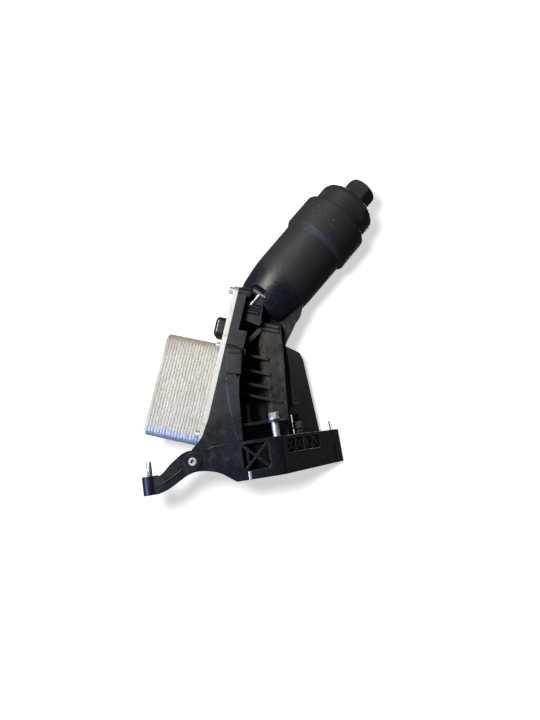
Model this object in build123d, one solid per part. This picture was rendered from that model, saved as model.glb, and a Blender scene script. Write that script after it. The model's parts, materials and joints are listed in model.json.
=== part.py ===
from build123d import *
import math
import os

# Oil filter module taken off a diesel engine: one black moulded housing that holds the filter bowl,
# the oil ducts and the engine mounting, with a plate oil cooler bolted to its left side.
# X is to the right, Y to the back, Z up. Zero is on the base face, midway between the two oil ports.

# Filter element and the bowl around it
filter_radius = 35.0
filter_gap = 3.2
bowl_wall = 3.7
bowl_draft = 0.5
chamber_draft = 0.4
chamber_foot = 23.0
chamber_low_gap = 0.8
bowl_lean = 48.6
bowl_foot_x = -9.5
bowl_foot_z = 205.4
bowl_foot_radius = 35.5
bowl_foot_taper = 45.0
bowl_foot_round = 22.0
heel_round = 12.0
heel_edge = 2.0
bowl_floor = 5.0
tube_length = 112.0
neck_step = 6.0
neck_length = 41.4
neck_wall = 7.1
thread_gap = 0.5

# Screw cap
cap_wall = 3.0
cap_skirt_wall = 3.2
cap_skirt_radius = 38.7
cap_skirt_length = 28.0
cap_radius = 39.8
cap_height = 38.8
cap_shoulder = 10.5
cap_round = 10.0
cap_seat_depth = 3.0
cap_seat_gap = 0.6
hex_across = 36.0
hex_height = 21.0
hex_round = 3.5
cap_seal_section = 3.0
cap_seal_rise = 5.0
cap_seal_gap = 0.3
cap_stem_radius = 13.6
cap_stem_wall = 2.0
cap_stem_gap = 1.5

# Filter element
filter_foot_gap = 21.0
filter_disc = 3.0
filter_length = 122.0
pleat_count = 40
pleat_inner = 15.0
pleat_margin = 1.2
core_radius = 13.5
core_wall = 1.5
core_rows = 6
core_windows = 8
core_window = 5.0
grommet_wall = 2.7
clip_gap = 0.4
clip_wall = 2.0
clip_height = 9.0

# Standpipe with the bypass valve in its top
pipe_radius = 8.0
pipe_bore = 6.0
pipe_length = 153.0
pipe_foot_radius = 9.9
pipe_foot = 3.0
pipe_window = 5.0
pipe_window_rows = 5
slide_gap = 0.3
bypass_seat_height = 3.0
bypass_hole = 4.0
bypass_disc = 2.5
bypass_spring = 14.0
perch_height = 2.0
perch_hole = 3.0

# Check valve over the oil feed
check_side = 13.0
check_radius = 7.6
check_disc = 2.0
check_spring = 7.0
check_bore = 6.0
cage_wall = 1.4
cage_top = 1.2
cage_window = 6.0
cage_recess = 1.0
cage_pocket = 12.0
spring_wire = 0.9
spring_turns = 4
valve_gap = 0.4

# Ducts and base ports
port_spacing = 30.0
port_radius = 7.0
feed_top = 186.0
return_top = 168.0
link_radius = 5.5
coolant_port_x = -36.0
coolant_port_y = 18.0
port_seal_gap = 1.5
port_seal_width = 2.6
port_seal_height = 2.6

# Cooler side: the flange leans over to the right
flange_lean = 21.0
flange_reach = 106.4
flange_bottom = 8.0
flange_top = 204.0
flange_half = 46.0
flange_wall = 11.0
flange_corner = 8.0
rim_wall = 5.0
rim_width = 21.5
rim_bottom = 66.0
rim_top = 150.0
plate_thickness = 6.0
plate_notch = 32.0
plate_notch_centre = 218.0
stack_top = 132.0
stack_half = 37.0
stack_corner = 12.0
foot_plate = 2.2
foot_rim = 0.3
cooler_plates = 18
cooler_pitch = 3.55
cooler_gap = 1.1
cooler_inset = 1.2
end_plate = 1.6
screw_radius = 2.5
screw_head_radius = 4.2
screw_head = 5.0
screw_grip = 13.0
screw_edge = 4.2
screw_boss_radius = 5.4
screw_stations = (20.0, 127.0, 197.0)
cooler_port_radius = 8.0
cooler_port_stations = (30.0, 110.0)
cooler_port_side = 20.0
cooler_seal_section = 2.4
cooler_seal_wall = 2.6

# Coolant elbow on the free upper part of the cooler plate
elbow_station = 156.6
elbow_length = 26.0
elbow_width = 28.0
elbow_height = 18.5
elbow_corner = 6.0
elbow_bore = 5.5
elbow_neck_radius = 10.0
elbow_neck_height = 3.0
spigot_radius = 6.4
spigot_bore = 4.8
spigot_length = 22.0
spigot_drop = 0.5
spigot_collar = 7.6
spigot_collar_out = 1.5
elbow_plug_radius = 8.5
elbow_plug_length = 5.0
elbow_plug_gap = 0.2
clip_wire = 0.9
elbow_seal_section = 2.2
seal_groove_gap = 0.15

# Column with the oil ducts
column_left = (-22.0, -16.2)
column_front_left = (-11.0, -7.9)
column_front_right = (2.0, 17.4)
column_right = 18.5
column_taper_height = 200.0
column_half = 24.0
column_chamfer = 10.0
column_step = 16.0
strip_bottom = 78.0
saddle_right = 16.5
saddle_half = 13.0
rib_thickness = 3.0
rib_half = 27.0
rib_stations = (78.0, 91.5, 107.5, 125.5)
rib_ends = (2.0, -8.5, -6.5, -5.5)
upper_rib_station = 167.0
upper_rib_end = 13.0
block_front = 36.0
web_thickness = 4.0

# Shield box and buttress on the right of the column
shield_start = 55.0
shield_top = 151.0
shield_end = 102.0
shield_spread = 10.6
shield_round = 7.0
shield_wall = 3.0
shield_inset = 13.0
shield_depth = 17.0
buttress_inset = 9.5

# Base frame
base_height = 43.0
base_wall = 3.5
base_floor = 5.0
base_left = -61.5
corner_x = -8.5
corner_y = -50.0
right_wall_angle = 54.4
right_wall_length = 139.0
corner_facet = 4.0
bay_ribs_x = (-46.0, -20.0, 8.0, 34.0)
bay_ribs_y = (-24.0, 2.0, 30.0)
window_left = -51.5
window_right = -20.5
window_bottom = 10.0
window_top = 39.5
window_corner = 5.0
brace_width = 2.8
lattice_start = 15.0
lattice_cell = 18.5
lattice_cells = 4
lattice_bottom = 23.0
lattice_top = 39.0
lattice_gap = 2.2
shelf_top = 63.0
shelf_thickness = 3.0
shelf_left = -50.0
shelf_right = 4.0

# Mounting hardware
bolt_radius = 3.0
sleeve_radius = 4.2
sleeve_bore = 3.3
bolt_head_across = 10.0
bolt_head_height = 7.0
bolt_flange_radius = 6.4
bolt_flange_height = 1.6
boss_wall = 3.8
front_bolt = (-10.0, -39.5)
right_bolt = (17.0, -1.0)
right_bolt_seat = 50.0
locating_sleeve = (-46.2, -46.9)
locating_radius = 3.4
locating_height = 9.0
rear_pin = (61.0, 52.0)
rear_pin_radius = 1.2
rear_pin_height = 12.0

# Small steel pin half sunk in the ridged block, and the recess above it in the bowl's foot
pin_radius = 1.9
pin_length = 16.5
pin_low = -6.0
pin_x = -4.3
pin_y = -36.6
scoop_radius = 8.0
scoop_length = 30.0
scoop_round = 6.5
scoop_floor = 32.0
scoop_height = 12.0
scoop_turn = -11.5

# Arm on the left with its foot boss and the round screw boss
arm_front = -50.0
arm_depth = 15.0
foot_x = -160.3
foot_radius = 9.2
foot_height = 21.0
stud_radius = 2.4
stud_length = 36.0
disc_x = -108.4
disc_z = 29.8
disc_radius = 10.0
disc_rise = 1.6
disc_screw_radius = 4.5
disc_screw_length = 9.0
disc_socket = 4.4
disc_socket_depth = 4.0

# Worked out from the sizes above
chamber_radius = filter_radius + filter_gap
foot_tube_radius = chamber_radius + bowl_wall
tube_radius = foot_tube_radius + bowl_draft
neck_bore = cap_skirt_radius + thread_gap
neck_radius = neck_bore + neck_wall
neck_start = tube_length + neck_step
bowl_length = neck_start + neck_length
cap_seat = bowl_length - cap_seat_depth
cap_top = bowl_length + cap_height
filter_foot = bowl_floor + filter_foot_gap
filter_top = filter_foot + filter_length + 2 * filter_disc
pipe_top = bowl_floor + pipe_length
lean_cos = math.cos(math.radians(flange_lean))
lean_sin = math.sin(math.radians(flange_lean))
bowl_cos = math.cos(math.radians(bowl_lean))
bowl_sin = math.sin(math.radians(bowl_lean))
wall_cos = math.cos(math.radians(right_wall_angle))
wall_sin = math.sin(math.radians(right_wall_angle))
port_y = port_spacing / 2
plate_face = flange_reach + plate_thickness
stack_start = plate_face + foot_plate
stack_end = stack_start + cooler_plates * cooler_pitch
big = 600.0


# Placing helpers
def in_bowl(shape):
    # bowl frame: local Z runs up the bowl's axis from the middle of its foot
    return Pos(bowl_foot_x, 0, bowl_foot_z) * Rot(0, bowl_lean, 0) * shape


def in_flange(shape):
    # flange frame: local X runs up the leaning flange, local Z points out of it to the cooler
    return Rot(0, flange_lean - 90, 0) * shape


def flange_point(station, reach):
    # place in the XZ plane of a point given by its station up the flange and its reach from zero
    return (station * lean_sin - reach * lean_cos, station * lean_cos + reach * lean_sin)


def on_right_wall(shape):
    # right wall frame: local X runs along the wall from the corner, local Y into the frame
    return Pos(corner_x, corner_y, 0) * Rot(0, 0, right_wall_angle) * shape


# Shape helpers
def rounded_face(corners):
    # corners are (x, y, corner radius)
    line = FilletPolyline(*[(c[0], c[1]) for c in corners], radius=[c[2] for c in corners], close=True)
    return make_face(line)


def turned(corners):
    return revolve(Plane.XZ * rounded_face(corners), Axis.Z, 360)


def upright(corners, front, back):
    # an outline drawn in X and Z, filled from front to back
    return extrude(Plane.XZ.offset(-front) * rounded_face(corners), -(back - front))


def block(x_from, x_to, y_from, y_to, z_from, z_to):
    middle = Pos((x_from + x_to) / 2, (y_from + y_to) / 2, (z_from + z_to) / 2)
    return middle * Box(x_to - x_from, y_to - y_from, z_to - z_from)


def rod(radius, z_from, z_to, x=0.0, y=0.0):
    return Pos(x, y, (z_from + z_to) / 2) * Cylinder(radius, z_to - z_from)


def tube(outer, inner, z_from, z_to, x=0.0, y=0.0):
    return rod(outer, z_from, z_to, x, y) - rod(inner, z_from - 1, z_to + 1, x, y)


def ring_of(section, radius, height):
    # round seal lying on the local XY plane
    return Pos(0, 0, height) * Torus(radius, section / 2)


def both_sides(shape):
    return shape + mirror(shape, Plane.XZ)


def coil(radius, z_from, z_to, turns, wire):
    rise = z_to - z_from - wire
    path = Helix(pitch=rise / turns, height=rise, radius=radius)
    start = Plane(origin=path @ 0, z_dir=path % 0)
    return Pos(0, 0, z_from + wire / 2) * sweep(start * Circle(wire / 2), path)


def save(name, shape):
    export_step(shape, f"parts/{name}.step")


# Housing moulding
def bowl_skin(foot_round):
    return turned([
        (0, 0, 0), (bowl_foot_radius, 0, foot_round), (foot_tube_radius, bowl_foot_taper, 200),
        (tube_radius, tube_length, 3), (neck_radius, neck_start, 2.5), (neck_radius, bowl_length, 2.5),
        (0, bowl_length, 0),
    ])


def bowl_shape():
    # the foot is full over the saddle and much rounder on the cooler's side
    heel = bowl_skin(heel_round) & block(heel_edge, big, -big, big, -1, bowl_foot_round)
    return in_bowl(bowl_skin(bowl_foot_round) + heel)


def bowl_hollow():
    chamber = turned([
        (0, bowl_floor, 0), (chamber_foot, bowl_floor, 5), (filter_radius + chamber_low_gap, filter_foot, 0),
        (chamber_radius, bowl_foot_taper, 0), (chamber_radius + chamber_draft, neck_start, 0),
        (0, neck_start, 0),
    ])
    neck = rod(neck_bore, neck_start - 1, bowl_length + 1)
    seat = rod(cap_radius + cap_seat_gap, cap_seat, bowl_length + 1)
    cage_radius = check_radius + valve_gap + cage_wall
    cage_seat = rod(cage_radius, bowl_floor - cage_recess, bowl_floor + 1, check_side, port_y)
    cage_room = rod(cage_radius + 0.3, bowl_floor, bowl_floor + cage_pocket, check_side, port_y)
    return in_bowl(chamber + neck + seat + cage_seat + cage_room)


def below_bowl_floor(shape):
    return shape & in_bowl(block(-big, big, -big, big, -big, bowl_floor / 2))


def column_plan(end):
    # half of the column's section, at its foot (end 0) or at its top (end 1)
    front = -column_half
    step = front + column_step
    return Polyline(
        (column_left[end], 0), (column_left[end], front + column_chamfer), (column_front_left[end], front),
        (column_front_right[end], front), (column_front_right[end] + 1, step), (column_front_right[end] + 1, 0),
        close=True)


def column_shape():
    low = make_face(column_plan(0))
    high = Pos(0, 0, column_taper_height) * make_face(column_plan(1))
    half = loft([low, high], ruled=True)
    strip = block(0, column_right, -column_half + column_step, 0, strip_bottom, column_taper_height)
    # above the upper rib the front steps back, clear of the bowl's round foot
    low_end = upper_rib_station + rib_thickness / 2
    high_end = low_end + column_half - saddle_half
    step_back = make_face(Polyline(
        (low_end, -column_half - 1), (low_end, -column_half), (high_end, -saddle_half),
        (high_end + 60, -saddle_half), (high_end + 60, -column_half - 1), close=True))
    return below_bowl_floor(both_sides(half + strip) - in_flange(extrude(step_back, flange_reach)))


def saddle_shape():
    # flared neck between the column and the right underside of the bowl
    edge = Spline((saddle_right, 145), (18.8, 157.6), (24.6, 167.2), (31.4, 176.8), (38.1, 186.4), (43.4, 192.0),
                  (46.6, 198.0), (50.0, 207.0))
    outline = make_face(edge + Polyline(
        (50.0, 207.0), (30, 215), (column_front_left[1], 200), (column_front_left[1], 145), (saddle_right, 145)))
    return extrude(Plane.XZ.offset(saddle_half) * outline, -2 * saddle_half)


def flange_outline(extra):
    return Pos((flange_bottom + flange_top) / 2, 0) * RectangleRounded(
        flange_top - flange_bottom + 2 * extra, 2 * (flange_half + extra), flange_corner + extra)


def flange_shape():
    inner = flange_reach - flange_wall
    face = Pos(0, 0, inner) * extrude(flange_outline(0), flange_wall)
    notch = rod(plate_notch, inner - 1, flange_reach + 1, plate_notch_centre, 0)
    wide = flange_reach - rim_width
    front_rim = block(rim_bottom, rim_top, -flange_half, -flange_half + rim_wall, wide, inner + 1)
    step = block(rim_bottom, rim_top - 22, -flange_half, -flange_half + rim_wall, wide - 3.5, wide + 1)
    bosses = [
        rod(screw_boss_radius, flange_reach - screw_grip - 2.5, flange_reach, station, -flange_half + screw_edge)
        for station in screw_stations
    ]
    return in_flange((face - notch) + both_sides(front_rim + step + bosses))


def flange_ribs():
    ribs = []
    inner = flange_reach - flange_wall
    for station, end in [*zip(rib_stations, rib_ends), (upper_rib_station, upper_rib_end)]:
        # reach of the place where the rib's middle line meets the wanted X
        stop = (station * lean_sin - end) / lean_cos
        rib = block(station - rib_thickness / 2, station + rib_thickness / 2, -rib_half, rib_half, stop, inner + 1)
        ribs.append(in_flange(rib))
    short = block(160, 163, -rib_half, rib_half, 50, 74)
    # the upper rib is deeper under the ridged block
    ledge = block(upper_rib_station - rib_thickness / 2, upper_rib_station + rib_thickness / 2,
                  -block_front, 0, 71, inner + 1)
    return Part() + ribs + in_flange(short) + in_flange(ledge)


def middle_web():
    low = flange_point(flange_bottom + 6, flange_reach - 2)
    high = flange_point(flange_top - 14, flange_reach - 2)
    outline = make_face(Polyline(
        low, high, (column_left[0] + 8, 205), (column_left[0] + 8, base_height - 6), (base_left, base_height - 6),
        close=True))
    return extrude(Plane.XZ.offset(web_thickness / 2) * outline, -web_thickness)


def side_wall():
    # smooth wall that ties the flange's lower end to the base and the arm
    low = flange_point(rim_bottom - 4, flange_reach - 2.8)
    high = flange_point(rim_top - 24, flange_reach - 0.4)
    outline = [
        (-109, 42, 1), (-95, 54.5, 25), low + (8,), high + (2,), (-45, 118, 2),
        (-49, 70, 20), (-49, base_height - 3, 0), (-104, base_height - 8, 2),
    ]
    return upright(outline, arm_front, arm_front + base_wall)


def pillar():
    outline = [(-58, 121, 5), (-42, 117, 4), (-45.5, 95, 20), (-48.5, 45, 1), (-54.5, 45, 1), (-57.5, 75, 60)]
    solid = upright(outline, arm_front - 2.5, arm_front + 10)
    return solid


def top_block():
    # ridged block that closes the corner between the flange's top and the bowl, and holds the small pin
    outline = make_face(Polyline(
        flange_point(upper_rib_station, flange_reach - 4), flange_point(198, flange_reach - 4), (-24.8, 230.4),
        (-14.4, 226.2), (-9.4, 218.2), (0.4, 211.7), (-1.9, 202.4), (-6.7, 185.7), (-10, 177.5), close=True))
    solid = extrude(Plane.XZ.offset(block_front) * outline, -(block_front + rib_half - 1))
    ridges = [in_flange(rod(3.2, 77, 100, station, 1 - block_front)) for station in (184, 177)]
    return Part() + solid + ridges


def strut():
    outline = make_face(Polyline((-2.5, 178), (-5.7, 182), (-28.6, 164.1), (-25.4, 160.1), close=True))
    return extrude(Plane.XZ.offset(26) * outline, -52)


def shield_shape():
    # box-shaped cover that stands parallel to the right wall, open towards the back
    top_end = shield_end - 5
    outline = [
        (shield_start, 0, 0), (shield_end + shield_spread, 0, 0), (shield_end + shield_spread, base_height, 0),
        (shield_end, shield_top - 11, 6), (top_end, shield_top - 1, shield_round), (shield_start, shield_top + 8.5, 0),
    ]
    inner = [
        (shield_start - 1, base_floor, 0), (shield_end + shield_spread - shield_wall, base_floor, 0),
        (shield_end + shield_spread - shield_wall, base_height, 0), (shield_end - shield_wall, shield_top - 12, 4),
        (top_end - shield_wall, shield_top - shield_wall - 1, shield_round - 3),
        (shield_start - 1, shield_top - shield_wall + 8.5, 0),
    ]
    outer = upright(outline, shield_inset, shield_inset + shield_depth)
    return on_right_wall(outer - upright(inner, shield_inset + shield_wall, shield_inset + shield_depth + 1))


def buttress():
    # sloping gusset in front of the shield, cut away round the bolt beside it
    outline = [
        (45, 0, 0), (107, 0, 0), (107, base_height + 1, 0), (66, 83, 4), (50, 80, 2), (45, 74, 0),
    ]
    return on_right_wall(upright(outline, buttress_inset, shield_inset + 1))


def base_plan():
    reach_x = corner_x + right_wall_length * wall_cos
    reach_y = corner_y + right_wall_length * wall_sin
    return [
        (base_left, corner_y), (corner_x - corner_facet, corner_y), (corner_x + 2, corner_y + 2.6),
        (reach_x, reach_y), (reach_x - 22, reach_y + 5), (base_left + 8, reach_y - 4), (base_left, reach_y - 14),
    ]


def base_shape():
    plan = make_face(Polyline(*base_plan(), close=True))
    inside = offset(plan, -base_wall, kind=Kind.INTERSECTION)
    outer = extrude(plan, base_height)
    room = Pos(0, 0, base_floor) * extrude(inside, base_height)
    bays = [block(x - 1.3, x + 1.3, -big, big, 0, base_height - 6) for x in bay_ribs_x]
    bays += [block(-big, big, y - 1.3, y + 1.3, 0, base_height - 6) for y in bay_ribs_y]
    egg_crate = (Part() + bays) & extrude(plan, base_height - 6)
    return (outer - room) + egg_crate


def brace(width, height, thickness):
    # two crossed bars in a window of the given size, centred on zero in X and Z
    angle = math.degrees(math.atan2(height, width))
    length = math.hypot(width, height) + 2
    bars = [Rot(0, turn, 0) * Box(length, thickness, brace_width) for turn in (angle, -angle)]
    return Part() + bars


def base_windows(base):
    width = window_right - window_left
    height = window_top - window_bottom
    middle = Pos((window_left + window_right) / 2, corner_y, (window_bottom + window_top) / 2)
    opening = Plane.XZ * RectangleRounded(width, height, window_corner)
    base -= middle * Pos(0, base_wall + 1, 0) * extrude(opening, 2 * base_wall + 2)
    base += middle * Pos(0, base_wall / 2 + 0.4, 0) * brace(width, height, base_wall - 1)
    cell_height = lattice_top - lattice_bottom
    for cell in range(lattice_cells):
        along = lattice_start + (cell + 0.5) * lattice_cell
        place = Pos(along, base_wall / 2, (lattice_top + lattice_bottom) / 2)
        base -= on_right_wall(place * Box(lattice_cell - lattice_gap, 3 * base_wall, cell_height))
        base += on_right_wall(place * Pos(0, 0.4, 0) * brace(lattice_cell - lattice_gap, cell_height, base_wall - 1.6))
    return base


def arm_shape():
    upper = Spline((foot_x + 12, 20), (-142.3, 23.5), (-136.8, 28.6), (-129.5, 34.0), (-119.1, 40.4), (-109.0, 42.3))
    lower = Spline((base_left, 0.0), (-70, 6.0), (-78, 11.5), (-88, 15.4), (-99, 17.6), (-108, 17.6),
                   (-117, 15.6), (-131, 8.6), (-142, 3.0), (-152, 0))
    outline = make_face(
        upper
        + Polyline((-109.0, 42.3), (base_left + 2, base_height), (base_left + 2, 0), (base_left, 0))
        + lower
        + Polyline((-152, 0), (foot_x, 0), (foot_x, 20), (foot_x + 12, 20))
    )
    solid = extrude(Plane.XZ.offset(-arm_front) * outline, -arm_depth)
    foot = rod(foot_radius, 0, foot_height, foot_x, arm_front + arm_depth / 2)
    boss = Pos(disc_x, arm_front, disc_z) * Rot(90, 0, 0) * Cylinder(disc_radius, 2 * disc_rise)
    back_rib = block(-112, -100, arm_front, arm_front + arm_depth, 20, 40)
    return solid + foot + boss + back_rib


def shelf_shape():
    plate = block(shelf_left, shelf_right, -45, 0, shelf_top - shelf_thickness, shelf_top)
    return plate


def bolt_bosses():
    outer = sleeve_radius + boss_wall
    bosses = [
        rod(outer, 0, base_height, *front_bolt),
        rod(outer, 0, base_height + 1, *right_bolt),
        rod(rear_pin_radius + 3.5, 0, base_height, *rear_pin),
        rod(outer, shelf_top - shelf_thickness, shelf_top, *front_bolt),
    ]
    return Part() + bosses


def port_towers():
    wall = port_radius + 3.5
    towers = [rod(wall, 0, base_height - 10, coolant_port_x, coolant_port_y)]
    return Part() + towers


def duct_holes():
    feed = rod(port_radius, -1, feed_top, 0, port_y)
    valve_bore = in_bowl(rod(check_bore, -9, bowl_floor, check_side, port_y))
    back = rod(port_radius, -1, return_top, 0, -port_y)
    start = Vector(0, -port_y, return_top - port_radius)
    end = Vector(bowl_foot_x + (bowl_floor + 1) * bowl_sin, 0, bowl_foot_z + (bowl_floor + 1) * bowl_cos)
    link = Plane((start + end) / 2, z_dir=end - start).location * Cylinder(link_radius, (end - start).length)
    coolant = rod(port_radius, -1, base_height - 16, coolant_port_x, coolant_port_y)
    return [feed, valve_bore, back, link, coolant]


def seal_groove(x, y):
    inner = port_radius + port_seal_gap
    return tube(inner + port_seal_width, inner, -1, port_seal_height + 0.2, x, y)


def cooler_port_places():
    return [(station, side) for station in cooler_port_stations for side in (-cooler_port_side, cooler_port_side)]


def flange_cuts():
    cuts = []
    for station, side in cooler_port_places():
        cuts.append(rod(cooler_port_radius, flange_reach - flange_wall + 2, flange_reach + 1, station, side))
        middle = cooler_port_radius + cooler_seal_wall
        half = cooler_seal_section / 2 + seal_groove_gap
        cuts.append(tube(middle + half, middle - half, flange_reach - 2 * half, flange_reach + 1, station, side))
    for station in screw_stations:
        for side in (-1, 1):
            y = side * (flange_half - screw_edge)
            cuts.append(rod(screw_radius, flange_reach - screw_grip, flange_reach + 1, station, y))
    return [in_flange(c) for c in cuts]


def cooler_room():
    # free space that the housing leaves for the cooler plate, with a little air round it
    return in_flange(block(flange_bottom - 6, flange_top + 12, -flange_half - 0.5, flange_half + 0.5,
                           flange_reach, flange_reach + 90))


def scoop():
    # recess low on the front of the bowl, above the small steel pin
    cutter = Rot(0, 90, 0) * Cylinder(scoop_radius, scoop_length)
    cutter = fillet(cutter.edges(), scoop_round)
    out = scoop_floor + scoop_radius
    return in_bowl(Rot(0, 0, scoop_turn) * Pos(0, -out, scoop_height) * cutter)


def housing():
    body = bowl_shape() - scoop() + column_shape() + saddle_shape()
    body += flange_shape()
    body += flange_ribs()
    body += middle_web()
    body += both_sides(side_wall())
    body += both_sides(pillar())
    body += top_block()
    body += strut()
    body += shield_shape() + buttress() - rod(bolt_flange_radius + 2.4, base_height, 68, *right_bolt)
    body += base_windows(base_shape())
    body += arm_shape() + shelf_shape() + bolt_bosses() + port_towers()
    body -= cooler_room()
    body -= bowl_hollow()
    for hole in duct_holes() + flange_cuts():
        body -= hole
    for x, y in ((0, -port_y), (0, port_y), (coolant_port_x, coolant_port_y)):
        body -= seal_groove(x, y)
    body -= rod(sleeve_radius, -1, shelf_top + 1, *front_bolt)
    body -= rod(sleeve_radius, -1, base_height + 2, *right_bolt)
    body -= rod(locating_radius, -1, locating_height, *locating_sleeve)
    body -= rod(rear_pin_radius, base_height - 15, base_height + 1, *rear_pin)
    body -= rod(locating_radius, -1, foot_height + 1, foot_x, arm_front + arm_depth / 2)
    body -= disc_screw_blank()
    body -= dowel_pin()
    return body


def disc_screw_blank():
    middle = arm_front - disc_rise + disc_screw_length / 2
    return Pos(disc_x, middle, disc_z) * Rot(90, 0, 0) * Cylinder(disc_screw_radius, disc_screw_length)


# Screw cap and its seal
def cap_seal_middle():
    return neck_bore - cap_seal_gap - cap_seal_section / 2


def cap_seal_height():
    return cap_seat - cap_skirt_length + cap_seal_rise


def cap_shape():
    skirt_inner = cap_skirt_radius - cap_skirt_wall
    dome_inner = cap_radius - cap_wall
    under = cap_top - cap_wall
    shell = turned([
        (skirt_inner, cap_seat - cap_skirt_length, 0), (cap_skirt_radius, cap_seat - cap_skirt_length, 0),
        (cap_skirt_radius, cap_seat, 0), (cap_radius, cap_seat, 0), (cap_radius, cap_top - cap_shoulder, cap_round),
        (hex_across / 2, cap_top, 0), (0, cap_top, 0), (0, under, 0), (hex_across / 2, under, 0),
        (dome_inner, under - cap_shoulder + 1, cap_round - cap_wall), (dome_inner, cap_seat + 6, 0),
        (skirt_inner, cap_seat + 2, 0),
    ])
    hexagon = extrude(RegularPolygon(hex_across / 2, 6, major_radius=False), hex_height + 2)
    crown = turned([
        (0, 0, 0), (hex_across / 2 + 2.2, 0, 0), (hex_across / 2 + 2.2, hex_height + 2, hex_round + 1),
        (0, hex_height + 2, 0),
    ])
    nut = Pos(0, 0, cap_top - 2) * (hexagon & crown)
    stem = tube(cap_stem_radius, cap_stem_radius - cap_stem_wall, filter_top + cap_stem_gap, under + 1)
    middle = cap_seal_height()
    groove = tube(cap_skirt_radius + 1, cap_seal_middle() - cap_seal_section / 2,
                  middle - cap_seal_section / 2 - 0.1, middle + cap_seal_section / 2 + 0.1)
    return in_bowl(shell + nut + stem - groove)


def cap_seal():
    return in_bowl(ring_of(cap_seal_section, cap_seal_middle(), cap_seal_height()))


# Filter element
def pleats():
    outer = filter_radius - pleat_margin
    points = []
    for step in range(2 * pleat_count):
        angle = math.pi * step / pleat_count
        radius = outer if step % 2 else pleat_inner
        points.append((radius * math.cos(angle), radius * math.sin(angle)))
    star = make_face(Polyline(*points, close=True)) - Circle(core_radius)
    return in_bowl(Pos(0, 0, filter_foot + filter_disc) * extrude(star, filter_length))


def filter_core():
    low = filter_foot + filter_disc
    wall = tube(core_radius, core_radius - core_wall, low, low + filter_length)
    pitch = filter_length / core_rows
    for row in range(core_rows):
        for turn in range(core_windows // 2):
            window = Rot(0, 0, 360 * turn / core_windows) * Box(3 * core_radius, core_window, pitch * 0.6)
            wall -= Pos(0, 0, low + (row + 0.5) * pitch) * window
    return in_bowl(wall)


def filter_hole():
    return pipe_radius + slide_gap + grommet_wall


def lower_disc():
    return in_bowl(tube(filter_radius, filter_hole(), filter_foot, filter_foot + filter_disc))


def upper_disc():
    low = filter_top - filter_disc
    collar_bore = cap_stem_radius + clip_gap
    collar = tube(collar_bore + clip_wall, collar_bore, filter_top - 0.5, filter_top + clip_height)
    return in_bowl(tube(filter_radius, filter_hole(), low, filter_top) + collar)


def grommets():
    inner = pipe_radius + slide_gap
    rings = [tube(filter_hole(), inner, low, low + filter_disc) for low in (filter_foot, filter_top - filter_disc)]
    return in_bowl(Compound(children=[r.solids()[0] for r in rings]))


# Standpipe, bypass valve and check valve
bypass_low = pipe_top - bypass_seat_height - bypass_disc
perch_top = bypass_low - bypass_spring
valve_base = bowl_floor - cage_recess


def standpipe():
    wall = tube(pipe_radius, pipe_bore, bowl_floor, pipe_top)
    foot = tube(pipe_foot_radius, pipe_bore, bowl_floor, bowl_floor + pipe_foot)
    perch = tube(pipe_bore + 0.5, perch_hole, perch_top - perch_height, perch_top)
    body = wall + foot + perch
    first = filter_foot + 12
    pitch = (perch_top - 18 - first) / (pipe_window_rows - 1)
    for row in range(pipe_window_rows):
        for turn in (0, 90):
            body -= Pos(0, 0, first + row * pitch) * Rot(0, 0, turn) * Rot(90, 0, 0) * Cylinder(
                pipe_window / 2, 3 * pipe_radius)
    return in_bowl(body)


def bypass_seat():
    return in_bowl(tube(pipe_bore, bypass_hole, pipe_top - bypass_seat_height, pipe_top))


def bypass_valve():
    disc = rod(pipe_bore - valve_gap, bypass_low, bypass_low + bypass_disc)
    return in_bowl(disc + rod(1.8, bypass_low - 5, bypass_low + 1))


def bypass_coil():
    return in_bowl(coil(pipe_bore - 1.8, perch_top, bypass_low, spring_turns, spring_wire))


def check_valve():
    disc = rod(check_radius, valve_base, valve_base + check_disc, check_side, port_y)
    return in_bowl(disc + rod(1.8, valve_base + 1, valve_base + check_disc + 2, check_side, port_y))


def check_coil():
    low = valve_base + check_disc
    return in_bowl(Pos(check_side, port_y, 0) * coil(4.6, low, low + check_spring, spring_turns, spring_wire))


def check_cage():
    outer = check_radius + valve_gap + cage_wall
    top = valve_base + check_disc + check_spring
    body = tube(outer, outer - cage_wall, valve_base, top) + tube(outer, 3, top, top + cage_top)
    for turn in (0, 90):
        body -= Pos(0, 0, top - 3.4) * Rot(0, 0, turn) * Box(4 * check_radius, cage_window, 5)
    return in_bowl(Pos(check_side, port_y, 0) * body)


# Plate oil cooler
def plate_outline(inset):
    length = stack_top - flange_bottom - 2 * inset
    middle = (stack_top + flange_bottom) / 2
    return Pos(middle, 0) * RectangleRounded(length, 2 * (stack_half - inset), stack_corner - inset)


def cooler_base_plate():
    plate = Pos(0, 0, flange_reach) * extrude(flange_outline(0), plate_thickness)
    plate -= rod(plate_notch, flange_reach - 1, plate_face + 1, plate_notch_centre, 0)
    for station, side in cooler_port_places():
        plate -= rod(cooler_port_radius, flange_reach - 1, plate_face + 1, station, side)
    for station in screw_stations:
        for side in (-1, 1):
            plate -= rod(screw_radius, flange_reach - 1, plate_face + 1, station, side * (flange_half - screw_edge))
    socket = plate_face - elbow_plug_length - 0.2
    plate -= rod(elbow_plug_radius + elbow_plug_gap, socket, plate_face + 1, elbow_station, 0)
    return in_flange(plate - rod(elbow_bore, flange_reach - 1, plate_face + 1, elbow_station, 0))


def cooler_foot():
    sheet = Pos(0, 0, plate_face) * extrude(plate_outline(-foot_rim), foot_plate)
    for station, side in cooler_port_places():
        sheet -= rod(cooler_port_radius, plate_face - 1, stack_start + 1, station, side)
    return in_flange(sheet)


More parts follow.
